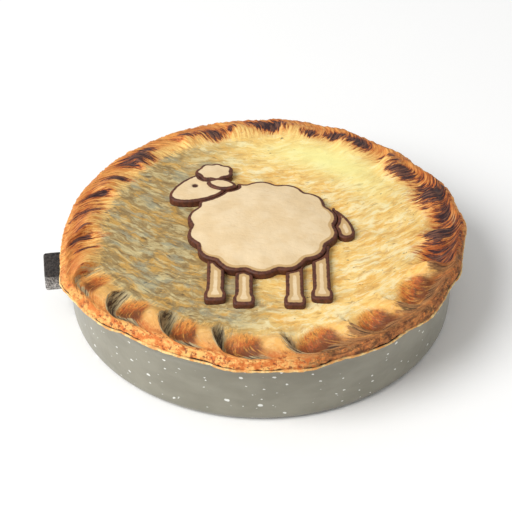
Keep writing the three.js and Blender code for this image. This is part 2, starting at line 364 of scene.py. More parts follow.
burns = {
    "places": (0.42, 0.92),  # where they lie across a crimp
    "inset": 14.0,
    "across": 8.8,
    "along": 6.2,
    "sideAlong": 1.8,  # times as long at the sides
    "leftAcross": 0.26,  # at the left they are long thin streaks
    "sideShade": 0.3,  # the brown between them at the sides
    "shadeInset": 13.0,
    "shadeSpread": 10.0,
}


def edgeRadius(angle):
    waves = [height * np.cos(count * (angle - math.radians(crest))) for count, height, crest in edgeWaves]
    free = crust["radius"] + sum(waves)
    hugging = blendBetween(crust["hugRadius"], free, crust["hugShare"])
    return np.where(free > crust["hugRadius"], free, hugging)


def lidHeight(x, y):
    share = np.hypot(x, y) / crust["lidRadius"]
    swell = 0.4 * np.sin(x / 19 + 0.8) * np.cos(y / 17 - 0.5)
    dome = crust["lidDome"] * (1 - share * share)
    return crust["lidEdgeZ"] + dome + swell * (1 - smoothStep(share, 0.8, 1.2))


def crimpSize(number):
    return 1 + 0.16 * np.sin(number * 2.4 + 0.6) + 0.08 * np.sin(number * 5.3)


def crimpDepth(turn):
    angle = crimp["firstFold"] + tau * turn / crimp["count"]
    return blendBetween(crimp["leastDepth"], 1, (1 + np.cos(angle - crimp["deepestAt"])) / 2)


def pressedAt(turn):
    return smoothStep(crimpDepth(turn), *bake["pressed"])


def crimpRise(turn):
    # a ridge's height across one crimp: a slow rise out of the hollow and a steep drop at the fold
    share = turn % 1
    rise = smoothStep(share, 0.14, 0.84) * (1 - smoothStep(share, 0.88, 1.0))
    return blendBetween(crimp["meanRise"], rise * crimpSize(np.floor(turn)), crimpDepth(turn))


def sweepAt(inset):
    reach = np.clip((crimp["innerReach"] - inset) / (crimp["innerReach"] - crimp["outerReach"]), 0, 1)
    return crimp["sweep"] * (reach ** crimp["sweepCurve"] - 0.5)


def crimpAngle(turn, inset):
    even = crimp["firstFold"] + tau * turn / crimp["count"]
    wander = crimp["wander"] * (np.sin(3 * even + 1) + 0.6 * np.sin(7 * even))
    return even - wander + crimpDepth(turn) * sweepAt(inset)


def crustHeight(turn, inset, angle):
    radius = edgeRadius(angle) - inset
    rise = crimpRise(turn)
    isOuter = inset < crimp["hollowAt"]
    hollowSpread = np.where(isOuter, crimp["hollowOuterSpread"], crimp["hollowInnerSpread"])
    lip = crimp["lipHeight"] * crimpDepth(turn) * bump(inset, crimp["lipAt"], crimp["lipSpread"])
    ridge = crimp["ridgeHeight"] * rise * bump(inset, crimp["ridgeAt"], crimp["ridgeSpread"])
    hollow = crimp["hollowDepth"] * (1 - rise) * bump(inset, crimp["hollowAt"], hollowSpread)
    return lidHeight(*onCircle(radius, angle)) + lip + ridge - hollow


def crustProfile():
    # (part, radius, height) of a plain round pie, from under its middle, up its side and in across its lid
    floorZ = dish["wall"] + dish["gap"]
    cornerX = dish["baseRadius"] - dish["cornerRadius"]
    fillet = dish["cornerRadius"] - floorZ
    insideMouth = dish["mouthRadius"] - dish["wall"] - dish["gap"]
    rimZ = dish["height"] + dish["gap"]
    rings = [("inside", 0, floorZ)]
    for angle in np.linspace(-math.pi / 2, 0, 4):
        height = dish["cornerRadius"] + fillet * math.sin(angle)
        rings.append(("inside", cornerX + fillet * math.cos(angle), height))
    rings.append(("inside", insideMouth, rimZ))
    rings.append(("under", dish["mouthRadius"] + dish["beadReach"] + dish["gap"], rimZ))
    for share in np.linspace(0, 1, crust["edgeRings"]):  # wider upwards, so that no two rings meet
        rings.append(("edge", crust["radius"] + 0.01 * share, rimZ + crust["edgeHeight"] * share))
    insets = np.concatenate([np.arange(*span) for span in crust["ringSpans"]])
    rings += [("top", crust["radius"] - inset, crust["lidEdgeZ"]) for inset in insets]
    return rings + [("top", 0, crust["lidEdgeZ"])]


def spinCrust():
    # the plain round pie, and the part of the profile that each vertex is on
    rings = crustProfile()
    steps = crimp["count"] * crust["columnsPerCrimp"]
    mesh = meshFrom(spinProfile([ring[1:] for ring in rings], steps, crimp["count"]), "crust")
    ringOf = np.empty(len(mesh.vertices), np.int32)
    mesh.attributes["ring"].data.foreach_get("value", ringOf)
    mesh.attributes.remove(mesh.attributes["ring"])
    print(f"crust spun: {len(rings)} rings of {steps}")
    return mesh, np.array([ring[0] for ring in rings])[ringOf]


def edgeLayers(angle, share):
    # a thin lower layer, a slit that opens and closes, later painted dark as its shadow, and a rough upper
    # layer, by their share of the edge's height: how far in the edge lies, how open its slit is, and where
    # its lower layer is
    around = np.stack([*onCircle(crust["radius"], angle), 0 * angle], 1)
    slitAt = crust["slitAt"] + crust["slitWander"] * noiseAt(around, 16, 2, 3)
    slitOpen = 0.3 + 0.7 * smoothStep(noiseAt(around, 20, 2, 5), -0.35, 0.3)
    slit = slitOpen * bump(share, slitAt, crust["slitWidth"])
    inset = crust["slitDepth"] * slit + crust["layerStep"] * smoothStep(share, slitAt - 0.05, slitAt + 0.05)
    inset += crust["edgeRound"] * np.clip(2 * share - 1, 0, 1) ** 3
    inset += crust["footRound"] * np.clip(1 - 3 * share, 0, 1) ** 3
    return inset, slit, smoothStep(share, slitAt + 0.03, slitAt - 0.08)


def foldShadeMask(share, inset, darkRightFront):
    # painted shade in the folds, and the tail of each along the lip as painted shadow under its hollow; at
    # the right front they widen outwards
    taper = smoothStep(inset, *bake["foldTaper"])
    before = blendBetween(0.22, blendBetween(0.75, 0.12, taper), darkRightFront)
    after = blendBetween(0.18, blendBetween(0.16, 0.1, taper), darkRightFront)
    across = 1 - smoothStep(np.minimum((1 - share) / before, share / after), 0.1, 1)
    fadesAt, goneAt = bake["foldEnd"]
    reach = smoothStep(inset, *bake["foldStart"]) * (1 - smoothStep(inset, fadesAt - 8 * darkRightFront, goneAt))
    tail = bump(inset, bake["tailInset"], bake["tailSpread"]) * (1 - smoothStep(share, 0.3, 0.6))
    return np.maximum(across * reach, tail)


def burnMask(turn, inset, angle):
    # burnt patches, two to a crimp and no two alike, on all of the rim but its front
    leftness = smoothStep(-np.cos(angle), 0.75, 0.95)
    sideness = smoothStep(np.abs(np.cos(angle)), 0.75, 0.95)
    total = burns["sideShade"] * sideness * bump(inset, burns["shadeInset"], burns["shadeSpread"])
    for seed, middle in enumerate(burns["places"]):
        number = np.round(turn - middle)
        sideways = (turn - middle - number + 0.12 * np.sin(number * 5.1 + seed)) * crimp["spacing"]
        outwards = inset - burns["inset"] - 3.5 * np.sin(number * 3.3 + 2 * seed)
        size = 0.9 + 0.3 * np.sin(number * 2.1 + 4 * seed)
        across = burns["across"] * size * blendBetween(1, burns["leftAcross"], leftness)
        along = burns["along"] * size * blendBetween(1, burns["sideAlong"], sideness)
        strength = 1.0 + 0.3 * np.sin(number * 4.7 + seed)
        total = total + strength * bump(sideways, 0, across) * bump(outwards, 0, along)
    return total * smoothStep(np.sin(angle), -0.5, -0.05)


def finishMasks(turn, inset, angle, radius, slant):
    # where each finish, painted shade and painted highlight lies on the crust's top, from 0 to about 1
    share = turn % 1
    direction = np.degrees(np.arctan2(np.sin(angle), np.cos(angle)))
    pressed = pressedAt(turn)
    # darker at the right front: the folds widen there and the edge darkens
    darkRightFront = smoothStep(direction, *bake["darkRightFrontFrom"]) * (1 - smoothStep(direction, *bake["darkRightFrontTo"]))
    hollowAcross = (share - bake["hollowShare"]) * crimp["spacing"]
    hollowRing = np.hypot(hollowAcross, (inset - bake["hollowInset"]) * 1.15)
    # a dark band near the edge at the right front, laid into the folds' painted shade
    darkEdge = 0.6 * darkRightFront * bump(inset, bake["darkEdgeInset"], bake["darkEdgeSpread"])
    crest = smoothStep(share, 0.4, 0.7) * (1 - smoothStep(share, 0.86, 0.94))
    # a painted highlight towards the back right of the lid
    paintedHighlight = bump(direction, bake["paintedHighlightDirection"], bake["paintedHighlightBreadth"])
    return {
        "rim": 1 - smoothStep(inset, *bake["rim"]),
        "band": 1 - smoothStep(inset, *bake["lip"]),
        "pressed": pressed,
        "darkRightFront": darkRightFront,
        "hollow": (1 - smoothStep(hollowRing, *bake["hollowReach"])) * pressed,
        # painted shade in the folds, with the dark band near the edge at the right front
        "fold": np.clip(np.maximum(foldShadeMask(share, inset, darkRightFront) * pressed, darkEdge), 0, 1),
        "crest": crest * bump(inset, bake["crestInset"], bake["crestSpread"]) * pressed,
        "paintedHighlight": paintedHighlight * bump(radius, bake["paintedHighlightRadius"], bake["paintedHighlightSpread"]),
        "burn": burnMask(turn - slant / crimp["spacing"], inset, angle),
    }


def crustRelief(points, flow, inset, mask, isEdge):
    # along the normals: wrinkles, lines in the folds and hollows, flakes on the edge, lumps on the lid
    hollow = mask["hollow"]
    wrinkles = noiseAt(flow, (2.4, 2.4, 9.0), 3, 1)
    wrinkles += (noiseAt(points, (3.2, 3.2, 2.4), 3, 13) - wrinkles) * 0.7 * mask["pressed"]
    relief = crust["wrinkleHeight"] * wrinkles * (1 - smoothStep(inset, 12, 36)) * (1 - 0.6 * hollow)
    relief += crust["foldLineHeight"] * noiseAt(flow, (1.7, 1.7, 14.0), 2, 7) * mask["fold"]
    relief += crust["hollowLineHeight"] * noiseAt(flow, (2.4, 2.4, 7.0), 2, 8) * hollow
    flaking = np.where(isEdge, 1 - 0.7 * mask["lower"], mask["band"])
    relief += crust["flakeHeight"] * noiseAt(points, (3.4, 3.4, 1.8), 4, 2) * flaking
    return relief + crust["lidLumpHeight"] * noiseAt(points, (17, 12, 12), 3, 4) * (1 - 0.5 * mask["rim"])


def makeCrust(material):
    mesh, part = spinCrust()
    plain = readVectors(mesh.vertices, "co")
    isTop, isEdge, isUnder, isInside = (part == name for name in ("top", "edge", "under", "inside"))
    flatRadius = np.hypot(plain[:, 0], plain[:, 1])
    isPole = flatRadius < 0.01
    rimZ = dish["height"] + dish["gap"]

    # where each vertex lies among the crimps, with the columns crowded at the folds
    turn = np.arctan2(plain[:, 1], plain[:, 0]) / tau * crimp["count"] % crimp["count"]
    turn = (turn - crust["crowding"] * np.sin(tau * (turn - 0.95)) / tau) % crimp["count"]
    inset = np.where(isTop, crust["radius"] - flatRadius, 0)
    angle = crimpAngle(turn, inset)
    outer = edgeRadius(angle)
    edgeShare = np.where(isEdge, (plain[:, 2] - rimZ) / crust["edgeHeight"], 0)
    edgeInset, slit, lower = edgeLayers(angle, edgeShare)

    # how far out each vertex goes
    radius = np.where(isInside, flatRadius, outer - inset - edgeInset * isEdge)
    radius = np.where(isUnder, np.minimum(flatRadius, outer - crust["footOverhang"]), radius)
    radius[isPole] = 0

    # how high: the edge runs from its foot on the dish's rim up to the crimped top
    overhang = smoothStep(outer - dish["mouthRadius"], *crust["droopFrom"])
    footZ = rimZ - crust["droop"] * overhang
    edgeTop = crustHeight(turn, np.full_like(inset, crust["edgeRound"] + crust["layerStep"]), angle)
    edgeZ = blendBetween(footZ, edgeTop, edgeShare)
    z = np.where(isTop, crustHeight(turn, inset, angle), np.where(isEdge, edgeZ, plain[:, 2]))
    z[isPole & isTop] = lidHeight(0, 0)

    # which way round: crests lean over their folds
    leaning = smoothStep(turn % 1, 0.6, 0.88) * (1 - smoothStep(turn % 1, 0.9, 1.0))
    leaning = leaning * bump(inset, crimp["ridgeAt"], crimp["ridgeSpread"]) * isTop
    leant = angle + crimp["lean"] * leaning / np.maximum(radius, 20)
    points = np.stack([*onCircle(radius, leant), z], 1)
    writePoints(mesh, points)

    # the way streaks run: along the crimps, and off the radius at the sides and back
    reach = np.minimum(inset, crust["slantTo"]) - crust["slantFrom"]
    slant = crust["slant"] * np.sin(2 * angle) * (1 - pressedAt(turn)) * reach
    straight = angle - crimpDepth(turn) * sweepAt(inset) - slant / crust["radius"]
    flow = np.stack([*onCircle(crust["flowRadius"], straight), radius], 1)

    mask = finishMasks(turn, inset, angle, radius, slant)
    for name in ("hollow", "fold", "crest", "paintedHighlight", "burn"):
        mask[name] = mask[name] * isTop
    mask["slit"] = isEdge * np.clip(1.3 * slit, 0, 1)
    mask["lower"] = np.where(isEdge, lower, isUnder)
    relief = crustRelief(points, flow, inset, mask, isEdge)
    relief[isUnder | isInside | isPole] = 0
    writePoints(mesh, points + readVectors(mesh.vertex_normals, "vector") * relief[:, None])
    for name, values in mask.items():
        storeMask(mesh, name, values)
    storeVector(mesh, "flow", flow)
    finishPiece("crust", mesh, material, "pie")


# lid tones at the left and at the right: the darker, greener left is partly painted shade, the brighter,
# golden right partly painted light
lidTones = {  # at the left and at the right
    "base": (tint(154, 128, 82), tint(250, 210, 128)),
    "golden": (tint(204, 158, 80), tint(237, 180, 88)),
    "cream": (tint(200, 182, 132), tint(255, 238, 184)),
    "pale": (tint(216, 200, 148), tint(255, 242, 194)),
    "dark": (tint(116, 94, 60), tint(208, 154, 84)),
    "thread": (tint(86, 70, 48), tint(158, 124, 80)),
}

tones = {
    "gold": tint(222, 150, 70),
    "paleGold": tint(252, 212, 130),
    "goldStreak": tint(150, 92, 48),
    "orange": tint(232, 154, 76),
    "brown": tint(206, 118, 58),
    "paleStreak": tint(248, 194, 112),
    "darkStreak": tint(116, 56, 34),
    # painted highlight
    "paintedHighlight": tint(255, 247, 164),
    "crest": tint(255, 190, 98),
    "hollowTop": tint(220, 144, 62),
    "hollowSide": tint(180, 80, 25),
    "hollowBottom": tint(86, 38, 20),
    "hollowDark": tint(98, 50, 24),
    "hollowPale": tint(240, 170, 78),
    "lip": tint(214, 116, 50),
    "lipClump": tint(255, 196, 114),
    "lipPit": tint(122, 54, 30),
    # darker tones for the edge at the right front
    "darkEdge": tint(64, 41, 32),
    "darkEdgeStreak": tint(176, 110, 64),
    "darkEdgeFlake": tint(228, 136, 68),
    # the folds' painted shade and its paler strands
    "foldShadow": tint(42, 31, 31),
    "foldPale": tint(190, 172, 130),
    "foldPaleRightFront": tint(172, 120, 74),
    "burnHalo": tint(202, 104, 44),
    "burnEdge": tint(118, 50, 34),
    "char": tint(44, 31, 37),
    "charStreak": tint(122, 82, 64),
    "speck": tint(82, 84, 80),
    "lowerLayer": tint(232, 164, 92),
    "lowerPale": tint(255, 222, 152),
    # painted shadow in the slit
    "slit": tint(56, 28, 18),
}


def paintLid(paint, place):
    # soft patches and wisps that bow towards the front, greener and darker at the left, partly as painted
    # shade, golden and brighter at the right, partly as painted light
    x, y, _ = paint.axes(place)
    bow = paint.node("ShaderNodeCombineXYZ", {}, {"Y": x * x * 0.0045})
    bowed = paint.drifted(paint.vectorMaths("SUBTRACT", place, bow), 15, (8, 10, 0))
    wisps = paint.noise(bowed, (8.0, 3.0, 4.0), 4.0, 0.65)
    threads = paint.noise(paint.vectorMaths("ADD", bowed, (20, 70, 5)), (8.0, 2.0, 2.0), 3.0, 0.6)
    golden = paint.noise(bowed, (15, 8, 8), 4.0, 0.65)
    grey = paint.noise(paint.vectorMaths("ADD", bowed, (60, 20, 5)), (17, 9, 8), 4.0, 0.65)
    clouds = paint.noise(place, (24, 18, 18), 2.0)
    # from left to right: the left's darker, greyer tones are partly painted shade, the right's brighter
    # ones partly painted light
    side = paint.step(x + y * 0.2 + (clouds - 0.5) * 60, -58, 20)
    sided = {name: paint.mix(side, left, right) for name, (left, right) in lidTones.items()}
    tone = paint.over(sided["base"], sided["golden"], 0.8, golden, 0.5, 0.6)
    tone = paint.over(tone, sided["cream"], 0.75, golden, 0.47, 0.38)
    tone = paint.over(tone, tint(152, 150, 126), 0.75 - side * 0.6, grey, 0.5, 0.62)
    tone = paint.over(tone, sided["pale"], 0.55, wisps, 0.51, 0.64)
    tone = paint.over(tone, sided["dark"], 0.6, wisps, 0.47, 0.35)
    tone = paint.over(tone, sided["thread"], 0.7, threads, 0.38, 0.29)
    return tone, wisps * 0.5 + threads * 0.2


def paintRim(paint, mask, grain, lid):
    # golden, then orange and brown towards the edge, with streaks along the crimps, and a painted highlight
    # at the back right
    streaks, mottle = grain["streaks"], grain["mottle"]
    ragged = mask["rim"] + (grain["along"] - 0.5) * 0.8 + (mottle - 0.5) * 0.4
    gold = paint.mix(paint.step(streaks, 0.4, 0.6), tones["gold"], tones["paleGold"])
    gold = paint.over(gold, tones["goldStreak"], 0.5, streaks, 0.42, 0.3)
    brown = paint.mix(paint.step(grain["patches"], 0.38, 0.62), tones["orange"], tones["brown"])
    brown = paint.over(brown, tones["paleStreak"], 0.7, streaks, 0.5, 0.64)
    brown = paint.over(brown, tones["darkStreak"], 0.85, streaks, 0.47, 0.36)
    tone = paint.mix(paint.step(ragged, 0.05, 0.38), lid, gold)
    tone = paint.mix(mask["paintedHighlight"] * 0.9, tone, tones["paintedHighlight"])
    tone = paint.mix(paint.step(ragged, 0.45, 1.0), tone, brown)
    crest = paint.mix(0.5, lid, tones["crest"])
    return paint.over(tone, crest, 0.75, mask["crest"] + (mottle - 0.5), 0.2, 0.8)


def paintHollows(paint, mask, grain, tone):
    # golden at the top, orange and then brown at the bottom
    strokes = paint.noise(grain["flow"], (1.7, 1.7, 5.0), 4.0, 0.75)
    depth = mask["rim"] + (strokes - 0.5) * 1.2 + (grain["mottle"] - 0.5) * 0.8
    bowl = paint.mix(paint.step(depth, 0.18, 0.52), tones["hollowTop"], tones["hollowSide"])
    bowl = paint.over(bowl, tones["hollowBottom"], 0.9, depth, 0.44, 0.74)
    bowl = paint.over(bowl, tones["hollowDark"], 0.75, strokes, 0.49, 0.41)
    bowl = paint.over(bowl, tones["hollowPale"], 0.5, grain["along"], 0.54, 0.64)
    edge = mask["hollow"] + (grain["along"] - 0.5) * 0.8 + (grain["mottle"] - 0.5) * 0.6
    return paint.over(tone, bowl, 0.92, edge, 0.05, 0.75)


def paintLip(paint, mask, grain, tone):
    # flaky, paler on its clumps, and dark with streaks along it at the right
    clumps, mottle = grain["clumps"], grain["mottle"]
    lines = paint.noise(grain["flow"], (7.0, 7.0, 1.3), 4.0, 0.7)
    lip = paint.mix(paint.step(clumps, 0.42, 0.6), tones["lip"], tones["lipClump"])
    lip = paint.over(lip, tones["lipPit"], 0.85, mottle, 0.46, 0.38)
    darkEdge = paint.mix(paint.step(lines, 0.42, 0.6), tones["darkEdge"], tones["darkEdgeStreak"])
    darkEdge = paint.over(darkEdge, tones["darkEdgeFlake"], 0.8, mottle, 0.55, 0.64)
    lip = paint.over(lip, darkEdge, 0.9, mask["darkRightFront"] + (clumps - 0.5) * 1.2, 0.2, 0.8)
    return paint.mix(mask["band"] * (0.25 + mask["pressed"] * 0.65), tone, lip)


def paintFoldShade(paint, mask, grain, tone):
    # painted shade in the folds: strands of grey and brown
    strands = paint.noise(grain["flow"], (1.6, 1.6, 11.0), 4.0, 0.75)
    ragging = paint.noise(grain["flow"], (2.4, 2.4, 5.0), 4.0, 0.75)
    pale = paint.mix(mask["darkRightFront"], tones["foldPale"], tones["foldPaleRightFront"])
    fold = paint.mix(paint.step(strands, 0.4, 0.58), tones["foldShadow"], pale)
    edge = mask["fold"] + (strands - 0.5) * 1.4 + (ragging - 0.5) * 1.4
    return paint.over(tone, fold, 0.94, edge, 0.3, 0.65)


def paintBurns(paint, mask, grain, tone):
    # ragged slate streaks in a red-brown halo
    char = paint.noise(grain["flow"], (1.9, 1.9, 11.0), 4.0, 0.75)
    rag = (char - 0.5) * 3.2 + (grain["patches"] - 0.5) * 0.6
    charred = mask["burn"] * 0.9 + rag * paint.step(mask["burn"], 0.0, 0.3)
    slate = paint.mix(paint.step(grain["along"], 0.44, 0.62), tones["char"], tones["charStreak"])
    tone = paint.over(tone, tones["burnHalo"], 0.75, charred, 0.02, 0.4)
    tone = paint.over(tone, tones["burnEdge"], 0.85, charred, 0.32, 0.52)
    return paint.over(tone, slate, 0.95, charred, 0.44, 0.68)


def paintEdge(paint, mask, grain, tone):
    # a pale gold lower layer under a slit painted dark as its shadow
    lower = paint.mix(paint.step(grain["clumps"], 0.4, 0.6), tones["lowerLayer"], tones["lowerPale"])
    tone = paint.mix(mask["lower"], tone, lower)
    return paint.mix(paint.step(mask["slit"], 0.25, 0.7), tone, tones["slit"])


def paintCrust():
    paint = Paint("bakedPastry")
    place = paint.objectPlace()
    flow = paint.attribute("flow", "Vector")
    names = ("rim", "band", "pressed", "darkRightFront", "hollow", "fold", "crest", "paintedHighlight", "burn", "slit", "lower")
    mask = {name: paint.attribute(name) for name in names}
    along = paint.noise(flow, (1.4, 1.4, 9.0), 4.0, 0.7)
    mottle = paint.noise(place, (2.6, 2.6, 2.2), 4.0, 0.7)
    grain = {
        "flow": flow,
        "along": along,
        "mottle": mottle,
        "streaks": along + (mottle - along) * mask["pressed"] * 0.5,
        "patches": paint.noise(place, (12, 12, 9), 3.0),
        "clumps": paint.noise(flow, (5.0, 5.0, 2.2), 4.0, 0.7),
    }
    lid, lidRelief = paintLid(paint, place)
    tone = paintRim(paint, mask, grain, lid)
    for paintPart in (paintHollows, paintLip, paintFoldShade, paintBurns):
        tone = paintPart(paint, mask, grain, tone)
    specks = paint.noise(paint.vectorMaths("ADD", place, (40, 10, 5)), (5.0, 3.0, 3.0), 2.0)
    tone = paint.over(tone, tones["speck"], (1 - mask["rim"]) * 0.8, specks, 0.7, 0.76)
    tone = paintEdge(paint, mask, grain, tone)
    rough = 0.62 - mask["hollow"] * 0.14 + (mottle - 0.5) * 0.25
    rimRelief = (grain["streaks"] * 0.5 + mottle * 0.5) * mask["rim"]
    normal = paint.relief(lidRelief * (1 - mask["rim"]) + rimRelief, 0.0012)
    return paint.finish(Base_Color=tone, Roughness=rough, Normal=normal, Specular_IOR_Level=0.3)


makeCrust(paintCrust())


# dish: pressed steel under thick enamel

def arcPoints(centre, radius, start, end, count):
    angles = np.linspace(start, end, count)
    x, y = centre
    return [(x + radius * math.cos(angle), y + radius * math.sin(angle)) for angle in angles]


def makeDish(material):
    quarter = math.pi / 2
    corner = (dish["baseRadius"] - dish["cornerRadius"], dish["cornerRadius"])
    beadX = dish["mouthRadius"] + dish["beadReach"] - dish["beadHeight"] / 2
    beadZ = dish["height"] - dish["beadHeight"] / 2
    flare = (dish["mouthRadius"] - dish["baseRadius"]) / dish["height"]
    profile = [(radius, 0) for radius in np.linspace(0, corner[0], 8, endpoint=False)]
    profile += arcPoints(corner, dish["cornerRadius"], -quarter, 0, 8)
    wallHeights = np.linspace(dish["cornerRadius"], dish["height"] - dish["beadHeight"] - 0.4, 9)[1:]
    profile += [(dish["baseRadius"] + flare * height, height) for height in wallHeights]
    profile += arcPoints((beadX, beadZ), dish["beadHeight"] / 2, -0.35 * math.pi, quarter, 9)
    profile.append((dish["mouthRadius"] - dish["wall"], dish["height"]))
    profile += arcPoints(corner, dish["cornerRadius"] - dish["wall"], 0, -quarter, 6)
    profile.append((0, dish["wall"]))
    mesh = meshFrom(spinProfile(profile, dish["columns"], crimp["count"]), "dish")
    mesh.attributes.remove(mesh.attributes["ring"])
    finishPiece("enamelDish", mesh, material, "dish")


def paintEnamel():
    paint = Paint("fleckedEnamel")
    place = paint.objectPlace()
    _, _, z = paint.axes(place)
    fleckPlace = paint.drifted(place, 3.0, (2.2, 2.2, 2.2))

    def flecks(spacing, least, most, often):
        # one fleck at most in a cell; radii are shares of the spacing
        cells = paint.vectorMaths("DIVIDE", fleckPlace, (spacing, spacing, 0.6 * spacing))
        inputs = {"Vector": cells, "Scale": 1.0}
        near = paint.node("ShaderNodeTexVoronoi", {}, inputs, "Distance")
        chance = paint.axes(paint.node("ShaderNodeTexVoronoi", {}, inputs, "Color"))
        radius = chance[0] * (most - least) + least
        return paint.step(near / radius, 1.15, 0.8) * paint.step(chance[1], 1 - often, 1.02 - often)

    fleck = flecks(5, 0.09, 0.17, 0.4) + flecks(9, 0.09, 0.17, 0.45) + flecks(21, 0.05, 0.09, 0.4)
    clouds = paint.noise(place, (30, 30, 14), 3.0)
    tone = paint.mix(paint.step(clouds, 0.35, 0.65), tint(129, 125, 109), tint(141, 137, 121))
    # painted shade: darker towards the dish's foot, where it meets the floor
    tone = paint.over(tone, tint(104, 100, 92), 0.3, z, 7, 0.5)
    tone = paint.mix(fleck * 0.9, tone, tint(236, 236, 230))
    rough = 0.34 + (clouds - 0.5) * 0.2
    normal = paint.relief(paint.noise(place, (9, 9, 9), 2.0), 0.0004)
    coat = {"Coat_Weight": 0.25, "Coat_Roughness": 0.2}
    return paint.finish(Base_Color=tone, Roughness=rough, Normal=normal, **coat)


makeDish(paintEnamel())


# lug: rough iron

lug = {
    "azimuth": math.radians(188),
    "width": 23.0,
    "thickness": 12.0,
    "reach": 136.0,
    "topZ": 36.0,
    "cornerRadius": 2.0,
    "padWidth": 29.0,
    "padHeight": 18.0,
    "padThickness": 3.0,
    "padBevel": 0.8,
    "bevel": 1.0,
    "cell": 1.3,  # spacing of the points that the rough skin moves
    "roughness": 0.22,
}


def ironBlock(low, high, cornerRadius, bevel):
    # a block with round outer corners and broken edges, cut into small cells
    low, high = Vector(low), Vector(high)
    size = high - low
    bm = bmesh.new()
    bmesh.ops.create_cube(bm, size=1)
    bmesh.ops.scale(bm, vec=size, verts=bm.verts[:])
    bmesh.ops.translate(bm, vec=(low + high) / 2, verts=bm.verts[:])
    rounding = {"affect": "EDGES", "profile": 0.5, "material": -1}
    if cornerRadius:
        outer = [edge for edge in bm.edges if all(abs(end.co.x - high.x) < 0.01 for end in edge.verts)]
        upright = [edge for edge in outer if edge.calc_length() < size.y - 1]
        bmesh.ops.bevel(bm, geom=upright, offset=cornerRadius, segments=4, **rounding)
    level = [edge for edge in bm.edges if abs(edge.verts[0].co.z - edge.verts[1].co.z) < 0.01]
    bmesh.ops.bevel(bm, geom=level, offset=bevel, segments=3, **rounding)
    for axis in range(3):
        normal = Vector([axis == 0, axis == 1, axis == 2])
        count = round(size[axis] / lug["cell"])
        for step in range(1, count):
            sliceAt(bm, low + size * step / count, normal)
    return bm


def makeLug(material):
    wallRadius = dish["mouthRadius"] + dish["gap"]
    half = lug["width"] / 2
    bottom = lug["topZ"] - lug["thickness"]
    low, high = (wallRadius, -half, bottom), (lug["reach"], half, lug["topZ"])
    tongue = ironBlock(low, high, lug["cornerRadius"], lug["bevel"])
    middle = lug["topZ"] - lug["thickness"] / 2
    padLow = (0, -lug["padWidth"] / 2, middle - lug["padHeight"] / 2)
    padHigh = (lug["padThickness"], lug["padWidth"] / 2, middle + lug["padHeight"] / 2)
    pad = ironBlock(padLow, padHigh, 0, lug["padBevel"])
    for corner in pad.verts:  # bends the pad round the dish's wall
        angle = corner.co.y / wallRadius
        radius = wallRadius + corner.co.x
        corner.co = (*onCircle(radius, angle), corner.co.z)
    tongue.from_mesh(meshFrom(pad, "pad"))
    for corner in tongue.verts:
        swell = lug["roughness"] * noise.fractal(corner.co / 3, 1.0, 2.0, 3)
        corner.co += swell * Vector((0.3, 0.4, 1))
    bmesh.ops.rotate(tongue, matrix=Matrix.Rotation(lug["azimuth"], 3, "Z"), verts=tongue.verts[:])
    finishPiece("ironLug", meshFrom(tongue, "lug"), material, "lug")


def paintIron():
    paint = Paint("roughIron")
    place = paint.objectPlace()
    grain = paint.noise(place, (1.3, 1.3, 1.3), 5.0, 0.7)
    clouds = paint.noise(place, (6, 6, 6), 3.0)
    # the top is painted dark as the crust's shadow on it, and the sides are painted lighter as lit faces
    shadedTopTone = paint.mix(paint.step(grain, 0.38, 0.62), tint(22, 20, 20), tint(80, 74, 71))
    litSideTone = paint.mix(paint.step(grain, 0.4, 0.6), tint(80, 76, 74), tint(206, 200, 196))
    _, _, z = paint.axes(place)
    tone = paint.mix(paint.step(z, lug["topZ"] - 1, lug["topZ"] - 2), shadedTopTone, litSideTone)
    tone = paint.over(tone, tint(72, 64, 60), 0.4, clouds, 0.45, 0.65)
    rough = 0.62 + (clouds - 0.5) * 0.3
    normal = paint.relief(grain, 0.0007)
    return paint.finish(Base_Color=tone, Roughness=rough, Metallic=0.25, Normal=normal)


makeLug(paintIron())


# sheep: cut out of rolled pastry

sheep = {
    "seat": 0.45,
    "sink": 0.4,  # how deep a piece has baked into the lid
    "gap": 0.4,
    "thickness": 4.0,
    "limbThickness": 3.2,
    "bevel": 1.1,
    "fleeceCentre": (0.5, -7.0),
    "fleeceRadii": (46.0, 45.0),
    "fleeceLobes": 14,
    "lobeDepth": 3.2,
    "fleecePuff": 1.6,
    "headCentre": (-40.0, 32.0),
    "headLength": 40.0,
    "headWidth": 27.0,
    "headTaper": 0.2,
    "headTilt": math.radians(30),
    "earRoot": (-35.0, 37.0),
    "earLength": 21.0,
    "earWidth": 10.0,
    "earTilt": math.radians(-14),
    "earLift": 1.2,
    "tuftCentre": (-30.0, 50.0),
    "tuftRadii": (12.0, 9.5),
    "tuftLobes": 7,
    "legX": (-27.0, -10.0, 20.0, 36.0),
    "legFootY": (-75.0, -79.0, -79.5, -74.0),
    "legHipY": -24.0,
    "legWidth": 10.5,
    "footWidth": 13.0,
    "tailRoot": (42.0, 13.0),
    "tailLength": 33.0,
    "tailWidth": 12.5,
    "tailTilt": math.radians(-68),
    "pointSpacing": 0.7,  # round an outline
    "cell": 1.2,  # inside it
    "ringWidths": (0.08, 0.24, 0.36, 0.42, 0.55),
    "borderWidth": 2.2,
}


def placed(along, across, origin, tilt):
    x = origin[0] + along * math.cos(tilt) - across * math.sin(tilt)
    y = origin[1] + along * math.sin(tilt) + across * math.cos(tilt)
    return np.stack([x, y], 1)


def cloudOutline(centre, radii, lobes, depth):
    angle = np.linspace(0, tau, 60 * lobes, endpoint=False)
    a, b = radii
    radius = a * b / np.hypot(b * np.cos(angle), a * np.sin(angle))
    radius += depth * (np.abs(np.sin(lobes * angle / 2)) - 0.6) + 0.015 * a * np.sin(3 * angle + 1)
    return placed(*onCircle(radius, angle), centre, 0)


